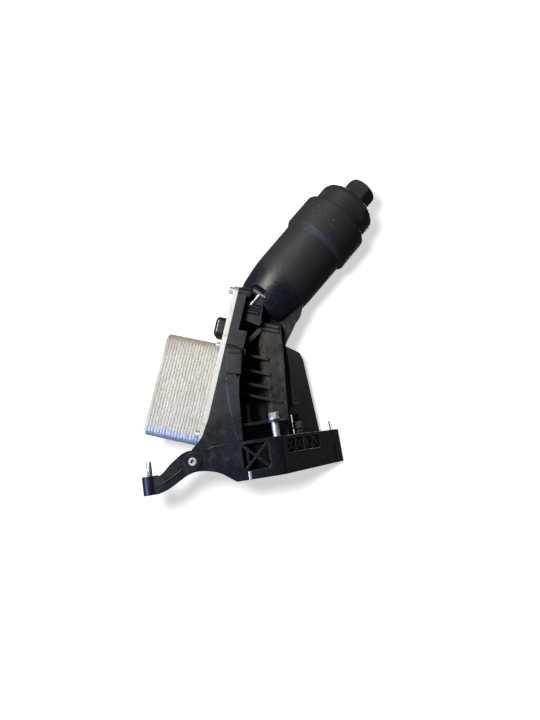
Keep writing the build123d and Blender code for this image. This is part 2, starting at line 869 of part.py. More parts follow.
def cooler_core():
    stack = []
    for step in range(cooler_plates):
        low = stack_start + step * cooler_pitch
        stack.append(Pos(0, 0, low) * extrude(plate_outline(0), cooler_pitch - cooler_gap))
        stack.append(Pos(0, 0, low + cooler_pitch - cooler_gap) * extrude(plate_outline(cooler_inset), cooler_gap))
    body = Part() + stack
    for station, side in cooler_port_places():
        body -= rod(cooler_port_radius, stack_start - 1, stack_start + 2, station, side)
    return in_flange(body)


def cooler_end():
    sheet = Pos(0, 0, stack_end) * extrude(plate_outline(2), end_plate)
    for station, side in cooler_port_places():
        sheet += rod(cooler_port_radius + 2, stack_end, stack_end + end_plate + 0.8, station, side)
    return in_flange(sheet)


def cooler_screws():
    screws = []
    for station in screw_stations:
        for side in (-1, 1):
            y = side * (flange_half - screw_edge)
            shank = rod(screw_radius, flange_reach - screw_grip + 1, plate_face + 1, station, y)
            head = rod(screw_head_radius, plate_face, plate_face + screw_head, station, y)
            socket = Pos(station, y, plate_face + 2) * extrude(RegularPolygon(2.4, 6, major_radius=False), screw_head)
            screws.append((shank + head - socket).solids()[0])
    return in_flange(Compound(children=screws))


def cooler_seals():
    rings = [
        Pos(station, side, 0) * ring_of(cooler_seal_section, cooler_port_radius + cooler_seal_wall,
                                        flange_reach - cooler_seal_section / 2)
        for station, side in cooler_port_places()
    ]
    return in_flange(Compound(children=[r.solids()[0] for r in rings]))


# Coolant elbow with its seal and wire clip
def elbow():
    top = plate_face + elbow_height
    foot = plate_face + elbow_neck_height
    block_plan = Pos(elbow_station, 0, foot) * RectangleRounded(elbow_length, elbow_width, elbow_corner)
    body = extrude(block_plan, elbow_height - elbow_neck_height)
    body = fillet(body.faces().sort_by(Axis.Z)[-1].edges(), elbow_corner - 1.5)
    body += rod(elbow_neck_radius, plate_face, foot + 1, elbow_station, 0)
    body += rod(elbow_plug_radius, plate_face - elbow_plug_length, plate_face + 1, elbow_station, 0)
    spigot_middle = (foot + top) / 2 - spigot_drop
    along = Pos(elbow_station, elbow_width / 2 + spigot_collar_out - 1, spigot_middle) * Rot(-90, 0, 0)
    body += along * rod(spigot_collar, -6, 1)
    body += along * rod(spigot_radius, 0, spigot_length)
    body -= along * rod(spigot_bore, -elbow_width / 2, spigot_length + 1)
    body -= rod(elbow_bore, plate_face - elbow_plug_length - 1, spigot_middle, elbow_station, 0)
    middle = plate_face - elbow_plug_length / 2
    half = elbow_seal_section / 2 + seal_groove_gap
    inner = elbow_plug_radius + elbow_plug_gap - elbow_seal_section - seal_groove_gap
    body -= tube(elbow_plug_radius + 1, inner, middle - half, middle + half, elbow_station, 0)
    return in_flange(body)


def elbow_seal():
    ring = elbow_plug_radius + elbow_plug_gap - elbow_seal_section / 2
    place = Pos(elbow_station, 0, plate_face - elbow_plug_length / 2)
    return in_flange(place * ring_of(elbow_seal_section, ring, 0))


def elbow_clip():
    # bent wire round the elbow's neck, its two ends sticking out below
    radius = elbow_neck_radius + clip_wire + 0.1
    spread = math.radians(35)
    ends = [(-radius * math.cos(spread), side * radius * math.sin(spread)) for side in (1, -1)]
    loop = ThreePointArc(ends[0], (radius, 0), ends[1])
    tips = [(x - 9, y * 1.7) for x, y in ends]
    path = Wire(Line(tips[0], ends[0]).edges() + loop.edges() + Line(ends[1], tips[1]).edges())
    start = Plane(origin=path @ 0, z_dir=path % 0)
    wire = sweep(start * Circle(clip_wire), path, transition=Transition.ROUND)
    return in_flange(Pos(elbow_station, 0, plate_face + elbow_neck_height / 2) * wire)


# Mounting hardware
def hex_bolt(x, y, seat, foot):
    flange = rod(bolt_flange_radius, seat, seat + bolt_flange_height, x, y)
    head = Pos(x, y, seat + 1) * extrude(RegularPolygon(bolt_head_across / 2, 6, major_radius=False), bolt_head_height)
    return rod(bolt_radius, foot, seat + 1, x, y) + flange + head


def sleeve(x, y, top):
    return tube(sleeve_radius, sleeve_bore, 0, top, x, y)


def port_seal(x, y):
    inner = port_radius + port_seal_gap
    return tube(inner + port_seal_width, inner, 0.1, port_seal_height, x, y)


def disc_screw():
    hole = Plane.XZ.offset(-(arm_front - disc_rise)) * Pos(disc_x, disc_z) * RegularPolygon(
        disc_socket / 2, 6, major_radius=False)
    return disc_screw_blank() - extrude(hole, -disc_socket_depth)


def dowel_pin():
    return in_bowl(rod(pin_radius, pin_low, pin_low + pin_length, pin_x, pin_y))


def main():
    os.makedirs("parts", exist_ok=True)
    body = housing()
    print("housing solids", len(body.solids()), "volume", round(body.volume / 1000, 1), "cm3")
    save("housing_body", body)
    save("cap", cap_shape())
    save("cap_seal", cap_seal())
    save("filter_pleats", pleats())
    save("filter_core", filter_core())
    save("filter_lower_disc", lower_disc())
    save("filter_upper_disc", upper_disc())
    save("filter_grommets", grommets())
    save("standpipe", standpipe())
    save("bypass_seat", bypass_seat())
    save("bypass_valve", bypass_valve())
    save("bypass_spring", bypass_coil())
    save("check_valve", check_valve())
    save("check_spring", check_coil())
    save("check_cage", check_cage())
    save("cooler_base_plate", cooler_base_plate())
    save("cooler_foot_plate", cooler_foot())
    save("cooler_core", cooler_core())
    save("cooler_end_plate", cooler_end())
    save("cooler_screws", cooler_screws())
    save("cooler_port_seals", cooler_seals())
    save("coolant_elbow", elbow())
    save("elbow_seal", elbow_seal())
    save("elbow_clip", elbow_clip())
    for name, place, seat in (("front", front_bolt, shelf_top), ("right", right_bolt, right_bolt_seat)):
        save("mount_bolt_" + name, hex_bolt(*place, seat, 1))
        save("bolt_sleeve_" + name, sleeve(*place, seat))
    foot_y = arm_front + arm_depth / 2
    save("arm_stud", rod(stud_radius, 1, 1 + stud_length, foot_x, foot_y))
    save("arm_sleeve", tube(locating_radius, stud_radius + 0.1, 0, foot_height, foot_x, foot_y))
    save("locating_sleeve", tube(locating_radius, locating_radius - 1, 0, locating_height, *locating_sleeve))
    save("rear_pin", rod(rear_pin_radius, base_height - 15, base_height + rear_pin_height, *rear_pin))
    save("disc_screw", disc_screw())
    save("dowel_pin", dowel_pin())
    save("feed_port_seal", port_seal(0, port_y))
    save("return_port_seal", port_seal(0, -port_y))
    save("coolant_port_seal", port_seal(coolant_port_x, coolant_port_y))


main()
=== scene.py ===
import json
import math

import bmesh
import bpy
from mathutils import Matrix, Vector


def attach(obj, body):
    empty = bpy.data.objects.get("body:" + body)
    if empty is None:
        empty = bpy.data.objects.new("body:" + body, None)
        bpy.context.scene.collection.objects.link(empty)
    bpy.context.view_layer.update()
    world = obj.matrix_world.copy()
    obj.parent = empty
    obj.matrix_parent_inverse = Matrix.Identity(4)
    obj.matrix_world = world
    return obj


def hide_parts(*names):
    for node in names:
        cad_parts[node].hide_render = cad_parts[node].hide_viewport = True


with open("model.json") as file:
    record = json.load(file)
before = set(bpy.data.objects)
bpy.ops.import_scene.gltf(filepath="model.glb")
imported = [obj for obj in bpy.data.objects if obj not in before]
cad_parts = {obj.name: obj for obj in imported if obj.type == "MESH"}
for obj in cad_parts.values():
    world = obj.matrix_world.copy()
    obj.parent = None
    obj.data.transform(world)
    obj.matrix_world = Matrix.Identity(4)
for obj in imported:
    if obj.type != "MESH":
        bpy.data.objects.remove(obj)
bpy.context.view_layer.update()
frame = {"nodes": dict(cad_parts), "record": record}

mm = 0.001
toMetres = Matrix.Scale(mm, 4)

# the slanting bowl and the leaning cooler flange, in degrees and millimetres
bowlFrame = {"lean": 48.6, "foot": (-9.5, 0.0, 205.4)}
flangeFrame = {"lean": 21.0}
bowlLean = math.radians(bowlFrame["lean"])
flangeLean = math.radians(flangeFrame["lean"])
bowlAxis = (math.sin(bowlLean), 0, math.cos(bowlLean))


def bowlPlace():
    # turns a shape drawn upright, in millimetres, onto the bowl's axis
    turn = Matrix.Rotation(bowlLean, 4, "Y")
    return Matrix.Translation(Vector(bowlFrame["foot"]) * mm) @ turn @ toMetres


def flangePlace():
    # station along X, depth along Y, reach out of the flange along Z, in millimetres
    across = Matrix((
        (math.sin(flangeLean), 0, -math.cos(flangeLean), 0),
        (0, 1, 0, 0),
        (math.cos(flangeLean), 0, math.sin(flangeLean), 0),
        (0, 0, 0, 1),
    ))
    return across @ toMetres


def rgb(colour):
    return (*colour, 1.0)


class Flow:
    # one output of a node; sums written on it become Math nodes
    def __init__(self, tree, socket=None):
        self.tree, self.socket = tree, socket

    def node(self, kind, settings=None, values=None, out=0):
        made = self.tree.nodes.new(kind)
        for key, value in (settings or {}).items():
            setattr(made, key, value)
        for key, value in (values or {}).items():
            if isinstance(value, Flow):
                self.tree.links.new(value.socket, made.inputs[key])
            else:
                made.inputs[key].default_value = value
        return Flow(self.tree, made.outputs[out])

    def other(self, out):
        # another output of the same node
        return Flow(self.tree, self.socket.node.outputs[out])

    def end(self, kind):
        # this value goes into the tree's output node
        last = self.tree.nodes.new(kind)
        self.tree.links.new(self.socket, last.inputs[0])

    def maths(self, operation, *terms):
        return self.node("ShaderNodeMath", {"operation": operation}, dict(enumerate(terms)))

    def vectors(self, operation, *terms, out=0):
        return self.node("ShaderNodeVectorMath", {"operation": operation}, dict(enumerate(terms)), out)

    def __add__(self, other):
        return self.maths("ADD", self, other)

    def __radd__(self, other):
        return self.maths("ADD", other, self)

    def __sub__(self, other):
        return self.maths("SUBTRACT", self, other)

    def __rsub__(self, other):
        return self.maths("SUBTRACT", other, self)

    def __mul__(self, other):
        return self.maths("MULTIPLY", self, other)

    def __rmul__(self, other):
        return self.maths("MULTIPLY", other, self)

    def __truediv__(self, other):
        return self.maths("DIVIDE", self, other)

    def __pow__(self, other):
        return self.maths("POWER", self, other)

    def rise(self, low, high):
        # 0 below low, 1 above high, smooth between; turned round where low is the larger
        return self.node("ShaderNodeMapRange", {"interpolation_type": "SMOOTHSTEP"},
                         {"Value": self, "From Min": low, "From Max": high})

    def between(self, low, high, soft):
        return self.rise(low - soft, low) * (1 - self.rise(high, high + soft))

    def paint(self, first, second):
        # this value mixes two colours
        first, second = (c if isinstance(c, Flow) else rgb(c) for c in (first, second))
        return self.node("ShaderNodeMix", {"data_type": "RGBA"}, {0: self, 6: first, 7: second}, 2)

    def summed(self, amounts, **masks):
        # the plain amount, plus every mask times its own amount
        total = amounts["plain"]
        for name, mask in masks.items():
            total = total + amounts[name] * mask
        return total

    def fillet(self, steps, radius):
        return self.node("GeometryNodeFilletCurve", {"mode": "POLY"},
                         {"Curve": self, "Count": steps, "Radius": radius, "Limit Radius": True})

    def resample(self, step):
        return self.node("GeometryNodeResampleCurve", {"mode": "LENGTH"}, {"Curve": self, "Length": step})

    def sweep(self, section, **more):
        # a mesh with this curve as its path
        return self.node("GeometryNodeCurveToMesh", None, {"Curve": self, "Profile Curve": section, **more})

    def shade(self, smooth):
        return self.node("GeometryNodeSetShadeSmooth", None, {"Geometry": self, "Shade Smooth": smooth})

    def joinWith(self, other):
        join = self.tree.nodes.new("GeometryNodeJoinGeometry")
        for part in (self, other):
            self.tree.links.new(part.socket, join.inputs[0])
        return Flow(self.tree, join.outputs[0])


class Finish(Flow):
    # a material with its shader; what varies is wired in afterwards
    def __init__(self, name, base, roughness, metallic=0.0, specular=0.5):
        self.material = bpy.data.materials.new(name)
        self.material.use_nodes = True
        super().__init__(self.material.node_tree)
        self.tree.nodes.clear()
        self.shader = self.tree.nodes.new("ShaderNodeBsdfPrincipled")
        Flow(self.tree, self.shader.outputs[0]).end("ShaderNodeOutputMaterial")
        self.material.diffuse_color = rgb(base)
        for key, value in {"Base Color": rgb(base), "Roughness": roughness, "Metallic": metallic,
                           "Specular IOR Level": specular}.items():
            self.shader.inputs[key].default_value = value
        self.place = self.node("ShaderNodeTexCoord", out="Object")

    def wire(self, **flows):
        names = {"base": "Base Color", "roughness": "Roughness", "metallic": "Metallic", "normal": "Normal"}
        for key, flow in flows.items():
            self.tree.links.new(flow.socket, self.shader.inputs[names[key]])

    def stretched(self, scale, turn=(0, 0, 0)):
        # object coordinates turned to an axis, then scaled per axis
        turned = self.node("ShaderNodeMapping", None, {"Vector": self.place, "Rotation": turn})
        return self.vectors("MULTIPLY", turned, scale)

    def grain(self, scale, detail=3.0, rough=0.55, warp=0.0, vector=None):
        return self.node("ShaderNodeTexNoise", None,
                         {"Vector": vector or self.place, "Scale": scale, "Detail": detail,
                          "Roughness": rough, "Distortion": warp})

    def cells(self, scale):
        return self.node("ShaderNodeTexVoronoi", None, {"Vector": self.place, "Scale": scale})

    def axis(self, direction):
        # how far along a direction a point lies, in metres
        return self.vectors("DOT_PRODUCT", self.place, direction, out="Value")

    def flatNormal(self):
        return self.node("ShaderNodeNewGeometry", out="Normal")

    def facing(self, direction):
        return self.vectors("DOT_PRODUCT", self.flatNormal(), direction, out="Value")

    def roundedNormal(self, radius):
        return self.node("ShaderNodeBevel", {"samples": 4}, {"Radius": radius})

    def edges(self, radius, low=0.02, high=0.16):
        # 1 on the edges, found from how far the rounded normal leaves the flat one
        agree = self.vectors("DOT_PRODUCT", self.roundedNormal(radius), self.flatNormal(), out="Value")
        return (1 - agree).rise(low, high)

    def curls(self):
        # thin scratches that curl, kept to a few patches
        look = curlLook
        wide, tight, patch = (self.grain(*look[key]) for key in ("wide", "tight", "patch"))
        longMark = self.maths("ABSOLUTE", wide - look["longAt"]).rise(*look["longLine"])
        shortMark = self.maths("ABSOLUTE", tight - look["shortAt"]).rise(*look["shortLine"])
        return (longMark * patch.rise(*look["longPatch"])
                + shortMark * patch.rise(*look["shortPatch"]) * look["shortShare"])

    def bump(self, height, strength, distance, normal=None):
        values = {"Height": height, "Strength": strength, "Distance": distance}
        if normal:
            values["Normal"] = normal
        return self.node("ShaderNodeBump", None, values)


# in the looks below a noise is (scale, detail, roughness, warp), a mask's pair is where it
# starts and where it is full, a third number is its soft edge, and a bump is (strength, metres)
curlLook = {
    "wide": (52, 2, 0.5, 1.4), "tight": (120, 2, 0.5, 2.2), "patch": (46, 3, 0.6),
    "longAt": 0.52, "longLine": (0.010, 0.003), "longPatch": (0.56, 0.64),
    "shortAt": 0.47, "shortLine": (0.014, 0.004), "shortPatch": (0.38, 0.32), "shortShare": 0.7,
}

mouldedLook = {
    "black": (0.0046, 0.0047, 0.0052),
    "blueBlack": (0.0058, 0.0066, 0.0092),
    "dust": (0.082, 0.071, 0.055),
    "bowl": (0.0175, 0.0162, 0.0145),
    "hollow": (0.0012, 0.0012, 0.0012),
    "speck": (0.34, 0.31, 0.25),
    "edge": (0.105, 0.108, 0.118),
    "scratch": (0.26, 0.25, 0.225),
    "satin": 0.42, "specular": 0.30,
    "grainSize": 0.45,
    "cloud": (28, 4, 0.6), "patch": (95, 5, 0.7, 0.6), "crumb": (330, 5, 0.75, 0.5),
    "streak": (1.0, 4, 0.65, 0.3), "streakScale": (260, 260, 38),
    "columnHeight": (0.052, 0.176, 0.010), "columnWidth": (-0.012, 0.090, 0.006),
    "chamferWay": (-0.70, -0.71, 0.0),
    "bowlStart": (0.160, 0.186), "neck": (0.244, 0.290, 0.004),
    "windowDepth": (-0.042, -0.030), "windowHeight": (0.046, 0.040), "windowWidth": (-0.012, -0.016),
    "oilHeight": (0.085, 0.060),
    "roughness": {"plain": 0.22, "oiled": -0.10, "hollow": 0.60, "onBowl": 0.16, "cloud": 0.22,
                  "dusty": 0.22, "fine": 0.12, "patch": 0.16, "worn": -0.08},
    "edgeRadius": 0.0007, "grainBump": (0.22, 0.00012), "streakBump": (0.10, 0.0004),
    "dustShares": {"column": 0.5, "patches": 0.22, "chamfer": 0.95},
    "strength": {"dust": 0.9, "speck": 0.8, "edge": 0.75, "scratch": 0.62},
    "wornRadius": 0.0008, "wornNoise": (420, 3), "wornFrom": (0.36, 0.58),
    "speckCells": 700, "speckSize": (0.22, 0.09), "speckNoise": (160, 3), "speckFrom": (0.49, 0.60),
}


def mouldedPlastic(name):
    # glass filled moulding: near black, satin, with dust, fine specks, worn edges with a painted glint, a
    # painted lit chamfer, a painted sheen on the bowl and painted shade in the deep base window
    look = mouldedLook
    f = Finish(name, look["black"], look["satin"], specular=look["specular"])
    fine = f.grain(1000 / look["grainSize"], 4)
    streak = f.grain(*look["streak"], f.stretched(look["streakScale"]))
    cloud, patch, crumb = (f.grain(*look[key]) for key in ("cloud", "patch", "crumb"))
    x, y, z = (f.axis(way) for way in ((1, 0, 0), (0, 1, 0), (0, 0, 1)))

    column = z.between(*look["columnHeight"]) * x.between(*look["columnWidth"])
    # the column's chamfer that faces the lamp at the left is painted light in the dust colour: painted light,
    # added to the real dust on the column and in patches
    chamfer = f.facing(look["chamferWay"]).rise(0.90, 0.98) * column
    share = look["dustShares"]
    dusty = (column * cloud.rise(0.30, 0.62) * share["column"] + patch.rise(0.56, 0.74) * share["patches"]
             + chamfer * share["chamfer"])
    dusty = dusty * (0.25 + 0.75 * streak.rise(0.35, 0.65)) * (0.45 + 0.9 * crumb.rise(0.42, 0.66))
    specks = f.cells(look["speckCells"]).rise(*look["speckSize"])
    specks = specks * f.grain(*look["speckNoise"]).rise(*look["speckFrom"])
    specks = specks * (0.3 + 0.7 * x.rise(-0.02, 0.01))
    # edges are painted lighter and bluish: partly wear, partly a painted glint
    worn = f.edges(look["wornRadius"]) * f.grain(*look["wornNoise"]).rise(*look["wornFrom"])
    station = f.axis(bowlAxis)
    onBowl = station.rise(*look["bowlStart"])
    neck = station.between(*look["neck"])
    # the deep base window is painted near black as painted shade, and oil has made the foot glossier
    hollow = y.rise(*look["windowDepth"]) * z.rise(*look["windowHeight"]) * x.rise(*look["windowWidth"])
    oiled = z.rise(*look["oilHeight"])

    tone = cloud.paint(look["black"], look["blueBlack"])
    # the bowl is painted lighter and warmer than the rest: a painted sheen on its rougher moulding
    tone = onBowl.paint(tone, look["bowl"])
    strength = look["strength"]
    tone = (dusty * strength["dust"]).paint(tone, look["dust"])
    tone = (specks * (strength["speck"] - 0.65 * onBowl)).paint(tone, look["speck"])
    tone = (worn * strength["edge"]).paint(tone, look["edge"])
    tone = (f.curls() * neck * strength["scratch"]).paint(tone, look["scratch"])
    tone = hollow.paint(tone, look["hollow"])
    rough = f.summed(look["roughness"], oiled=oiled, hollow=hollow, onBowl=onBowl, cloud=cloud,
                     dusty=dusty, fine=fine - 0.5, patch=patch.rise(0.30, 0.78), worn=worn)
    normal = f.bump(fine, *look["grainBump"], f.roundedNormal(look["edgeRadius"]))
    f.wire(base=tone, roughness=rough, normal=f.bump(streak, *look["streakBump"], normal))
    return f.material


capLook = {
    "black": (0.0165, 0.0165, 0.0168),
    "scuff": (0.036, 0.0345, 0.032),
    "scratch": (0.26, 0.25, 0.225),
    "satin": 0.46, "specular": 0.36,
    "cloud": (45, 4, 0.6), "fine": (2600, 3),
    "roughness": {"plain": 0.44, "cloud": 0.14, "fine": 0.06},
    "edgeRadius": 0.0006, "bump": (0.16, 0.0001), "wornNoise": (300, 3), "wornFrom": (0.42, 0.6),
    "strength": {"scuff": 0.5, "scratch": 0.4, "worn": 0.6},
}


def capPlastic(name):
    # smoother black moulding, scuffed, with thin pale scratches that curl over the shoulder, and edges
    # painted pale as wear and a painted glint
    look = capLook
    f = Finish(name, look["black"], look["satin"], specular=look["specular"])
    cloud, fine = f.grain(*look["cloud"]), f.grain(*look["fine"])
    worn = f.edges(look["edgeRadius"]) * f.grain(*look["wornNoise"]).rise(*look["wornFrom"])
    strength = look["strength"]
    tone = (cloud.rise(0.5, 0.75) * strength["scuff"]).paint(look["black"], look["scuff"])
    tone = (f.curls() * strength["scratch"]).paint(tone, look["scratch"])
    # edges painted pale: partly wear, partly a painted glint
    tone = (worn * strength["worn"]).paint(tone, look["scratch"])
    f.wire(base=tone, roughness=f.summed(look["roughness"], cloud=cloud, fine=fine - 0.5),
           normal=f.bump(fine, *look["bump"], f.roundedNormal(look["edgeRadius"])))
    return f.material


coolerLook = {
    "silver": (0.385, 0.350, 0.258),
    "pale": (0.50, 0.465, 0.365),
    "stain": (0.27, 0.215, 0.145),
    "soot": (0.085, 0.07, 0.05),
    "bare": (0.36, 0.375, 0.41),
    "dull": 0.56, "specular": 0.35,
    "cloud": (36, 4, 0.6), "flux": (420, 5, 0.7, 0.4), "fine": (1900, 3, 0.6),
    "drops": (1.0, 4, 0.7, 0.4), "dropScale": (760, 760, 250),
    "runs": (1.0, 4, 0.7, 0.3), "runScale": (900, 900, 90),
    "stainedFrom": (0.098, 0.136), "outerEnd": (0.158, 0.182), "bareBelow": (0.0225, 0.0125),
    "roughness": {"plain": 0.46, "flux": 0.2, "stain": 0.2, "bare": -0.12},
    "metallic": {"plain": 0.26, "stain": -0.16, "bare": 0.25}, "bump": (0.5, 0.00025),
}


def cooledAluminium(name):
    # brazed plates: pale dull aluminium with rough flux, beige stains and dark specks in the grooves, and a
    # painted bluish reflection along the lowest edge
    look = coolerLook
    f = Finish(name, look["silver"], look["dull"], look["metallic"]["plain"], look["specular"])
    cloud, flux, fine = (f.grain(*look[key]) for key in ("cloud", "flux", "fine"))
    drops = f.grain(*look["drops"], f.stretched(look["dropScale"], (0, -flangeLean, 0)))
    runs = f.grain(*look["runs"], f.stretched(look["runScale"], (0, -flangeLean, 0)))
    station = f.axis((math.sin(flangeLean), 0, math.cos(flangeLean)))
    reach = f.axis((-math.cos(flangeLean), 0, math.sin(flangeLean)))

    high, outer = station.rise(*look["stainedFrom"]), reach.rise(*look["outerEnd"])
    stain = (high * 0.75 + outer * 0.35) * cloud.rise(0.30, 0.62) + flux.rise(0.60, 0.78) * 0.30
    soot = drops.rise(0.56, 0.66) * f.grain(60, 3).rise(0.40, 0.56)
    bare = station.rise(*look["bareBelow"])  # the lowest edge gets a painted bluish reflection

    tone = cloud.paint(look["silver"], look["pale"])
    for mask, colour in ((runs.rise(0.40, 0.70) * 0.55, "stain"), (fine.rise(0.40, 0.70) * 0.34, "stain"),
                         (stain * 0.75, "stain"), (soot * 0.8, "soot"), (bare * 0.6, "bare")):
        tone = mask.paint(tone, look[colour])
    f.wire(base=tone, roughness=f.summed(look["roughness"], flux=flux, stain=stain, bare=bare),
           metallic=f.summed(look["metallic"], stain=stain, bare=bare),
           normal=f.bump(flux + 0.4 * fine, *look["bump"]))
    return f.material


milledLook = {
    "base": (0.36, 0.355, 0.34),
    "shade": (0.36, 0.34, 0.29),
    "light": (0.49, 0.47, 0.415),
    "stain": (0.20, 0.17, 0.12),
    "edge": (0.52, 0.52, 0.50),
    "dull": 0.34, "metallic": 0.45,
    "marks": (1.0, 3, 0.5, 0.0), "markScale": (2400, 180, 60), "cloud": (60, 4, 0.6), "spots": (150, 4, 0.7),
    "roughness": {"plain": 0.24, "marks": 0.2, "cloud": 0.1},
    "wornRadius": 0.0006, "edgeRadius": 0.0005, "bump": (0.2, 0.00008),
}


def milledAluminium(name):
    # the flat base plate: bright, with long mill marks on its faces, and edges painted lighter as wear and a
    # painted glint
    look = milledLook
    f = Finish(name, look["base"], look["dull"], look["metallic"])
    marks = f.grain(*look["marks"], f.stretched(look["markScale"], (0, -flangeLean, 0)))
    cloud = f.grain(*look["cloud"])
    tone = cloud.paint(look["shade"], look["light"])
    tone = (f.grain(*look["spots"]).rise(0.55, 0.72) * 0.6).paint(tone, look["stain"])
    # edges painted lighter: partly wear, partly a painted glint
    tone = (f.edges(look["wornRadius"]) * 0.4).paint(tone, look["edge"])
    f.wire(base=tone, roughness=f.summed(look["roughness"], marks=marks, cloud=cloud),
           normal=f.bump(marks, *look["bump"], f.roundedNormal(look["edgeRadius"])))
    return f.material


steelLook = {
    "base": (0.62, 0.61, 0.59),
    "shade": (0.40, 0.39, 0.37),
    "light": (0.66, 0.655, 0.63),
    "brown": (0.22, 0.165, 0.11),
    "oil": (0.020, 0.016, 0.011),
    "dull": 0.3,
    "cloud": (240, 4, 0.6), "fine": (2200, 3), "spots": (520, 4, 0.7), "oilEdge": (210, 4, 0.7),
    "oilWidth": (0.009, 0.025, 0.001), "oilDepth": (-0.010, 0.008, 0.001),
    "roughness": {"plain": 0.22, "cloud": 0.22, "brown": 0.15, "oily": 0.15},
    "metallic": {"plain": 0.72, "oily": -0.45}, "edgeRadius": 0.0004, "bump": (0.2, 0.00006),
}


def platedSteel(name):
    # zinc plated fasteners, dulled and browned in spots; oil has darkened the right bolt
    look = steelLook
    f = Finish(name, look["base"], look["dull"], metallic=1.0)
    cloud, fine = f.grain(*look["cloud"]), f.grain(*look["fine"])
    brown = f.grain(*look["spots"]).rise(0.56, 0.70)
    oily = f.axis((1, 0, 0)).between(*look["oilWidth"]) * f.axis((0, 1, 0)).between(*look["oilDepth"])
    oily = oily * f.grain(*look["oilEdge"]).rise(0.30, 0.42)
    tone = cloud.paint(look["shade"], look["light"])
    tone = (brown * 0.45).paint(tone, look["brown"])
    tone = (oily * 0.93).paint(tone, look["oil"])
    f.wire(base=tone, roughness=f.summed(look["roughness"], cloud=cloud, brown=brown, oily=oily),
           metallic=f.summed(look["metallic"], oily=oily),
           normal=f.bump(fine, *look["bump"], f.roundedNormal(look["edgeRadius"])))
    return f.material


wireLook = {"base": (0.45, 0.45, 0.45), "shade": (0.34, 0.335, 0.33), "light": (0.58, 0.58, 0.58),
            "dull": 0.28, "drawn": (900, 3, 0.6, 0.5), "bump": (0.15, 0.00005),
            "roughness": {"plain": 0.2, "drawn": 0.25}}


def drawnWire(name):
    look = wireLook
    f = Finish(name, look["base"], look["dull"], metallic=1.0)
    drawn = f.grain(*look["drawn"])
    f.wire(base=drawn.paint(look["shade"], look["light"]),
           roughness=f.summed(look["roughness"], drawn=drawn), normal=f.bump(drawn, *look["bump"]))
    return f.material


glossyLooks = {
    "glossElbowMoulding": {"dark": (0.008, 0.008, 0.010), "light": (0.014, 0.014, 0.017), "gloss": 0.2,
                           "specular": 0.5},
    "naturalValveMoulding": {"dark": (0.50, 0.48, 0.41), "light": (0.62, 0.60, 0.53), "gloss": 0.34,
                             "specular": 0.5},
    "greyCoreMoulding": {"dark": (0.055, 0.056, 0.062), "light": (0.10, 0.10, 0.11), "gloss": 0.42,
                         "specular": 0.4},
}


def glossyPlastic(name):
    # unfilled moulding, shiny, slightly wavy from the mould
    look = glossyLooks[name]
    f = Finish(name, look["dark"], look["gloss"], specular=look["specular"])
    cloud, wave, fine = f.grain(120, 4, 0.6), f.grain(60, 2), f.grain(1500, 3)
    f.wire(base=cloud.paint(look["dark"], look["light"]), roughness=look["gloss"] + 0.14 * (cloud - 0.4),
           normal=f.bump(fine + 3 * wave, 0.08, 0.0002, f.roundedNormal(0.0006)))
    return f.material


rubberLook = {"base": (0.016, 0.016, 0.017), "dark": (0.011, 0.011, 0.012), "light": (0.030, 0.030, 0.031),
              "dull": 0.62, "specular": 0.3, "cloud": (150, 4), "fine": (2500, 3),
              "bump": (0.2, 0.00008), "roughness": {"plain": 0.52, "cloud": 0.2}}


def sealRubber(name):
    look = rubberLook
    f = Finish(name, look["base"], look["dull"], specular=look["specular"])
    cloud, fine = f.grain(*look["cloud"]), f.grain(*look["fine"])
    f.wire(base=cloud.paint(look["dark"], look["light"]),
           roughness=f.summed(look["roughness"], cloud=cloud), normal=f.bump(fine, *look["bump"]))
    return f.material


paperLook = {"base": (0.66, 0.55, 0.32), "dark": (0.58, 0.47, 0.26), "light": (0.76, 0.66, 0.42),
             "oil": (0.30, 0.20, 0.09), "dull": 0.8, "specular": 0.2,
             "fibre": (1.0, 4, 0.65, 0.4), "fibreScale": (1500, 1500, 500), "patches": (40, 4, 0.6),
             "bump": (0.5, 0.0001), "roughness": {"plain": 0.85, "oiled": -0.35}}


def oiledPaper(name):
    # filter paper: yellow, fibrous, browned by oil in patches
    look = paperLook
    f = Finish(name, look["base"], look["dull"], specular=look["specular"])
    fibre = f.grain(*look["fibre"], f.stretched(look["fibreScale"]))
    oiled = f.grain(*look["patches"]).rise(0.45, 0.7)
    tone = fibre.paint(look["dark"], look["light"])
    f.wire(base=(oiled * 0.6).paint(tone, look["oil"]), roughness=f.summed(look["roughness"], oiled=oiled),
           normal=f.bump(fibre, *look["bump"]))
    return f.material


feltLook = {"base": (0.60, 0.53, 0.38), "dark": (0.42, 0.36, 0.25), "light": (0.72, 0.66, 0.52),
            "oil": (0.26, 0.19, 0.10), "dull": 0.92, "specular": 0.1,
            "fibre": (1400, 5, 0.75, 1.2), "patches": (90, 4), "bump": (0.9, 0.0003)}


def pressedFelt(name):
    look = feltLook
    f = Finish(name, look["base"], look["dull"], specular=look["specular"])
    fibre, patches = f.grain(*look["fibre"]), f.grain(*look["patches"])
    tone = fibre.paint(look["dark"], look["light"])
    f.wire(base=(patches.rise(0.45, 0.7) * 0.4).paint(tone, look["oil"]), normal=f.bump(fibre, *look["bump"]))
    return f.material


finishes = {
    "housing_plastic": mouldedPlastic("satinHousingMoulding"),
    "cap_plastic": capPlastic("scuffedCapMoulding"),
    "elbow_plastic": glossyPlastic("glossElbowMoulding"),
    "valve_plastic": glossyPlastic("naturalValveMoulding"),
    "core_plastic": glossyPlastic("greyCoreMoulding"),
    "cooler_aluminium": cooledAluminium("brazedCoolerAluminium"),
    "plate_aluminium": milledAluminium("milledPlateAluminium"),
    "steel": platedSteel("platedSteel"),
    "spring_steel": drawnWire("drawnSpringWire"),
    "seal_rubber": sealRubber("sealRubber"),
    "filter_paper": oiledPaper("oiledFilterPaper"),
    "disc_felt": pressedFelt("pressedFelt"),
}
print("finishes made:", len(finishes))


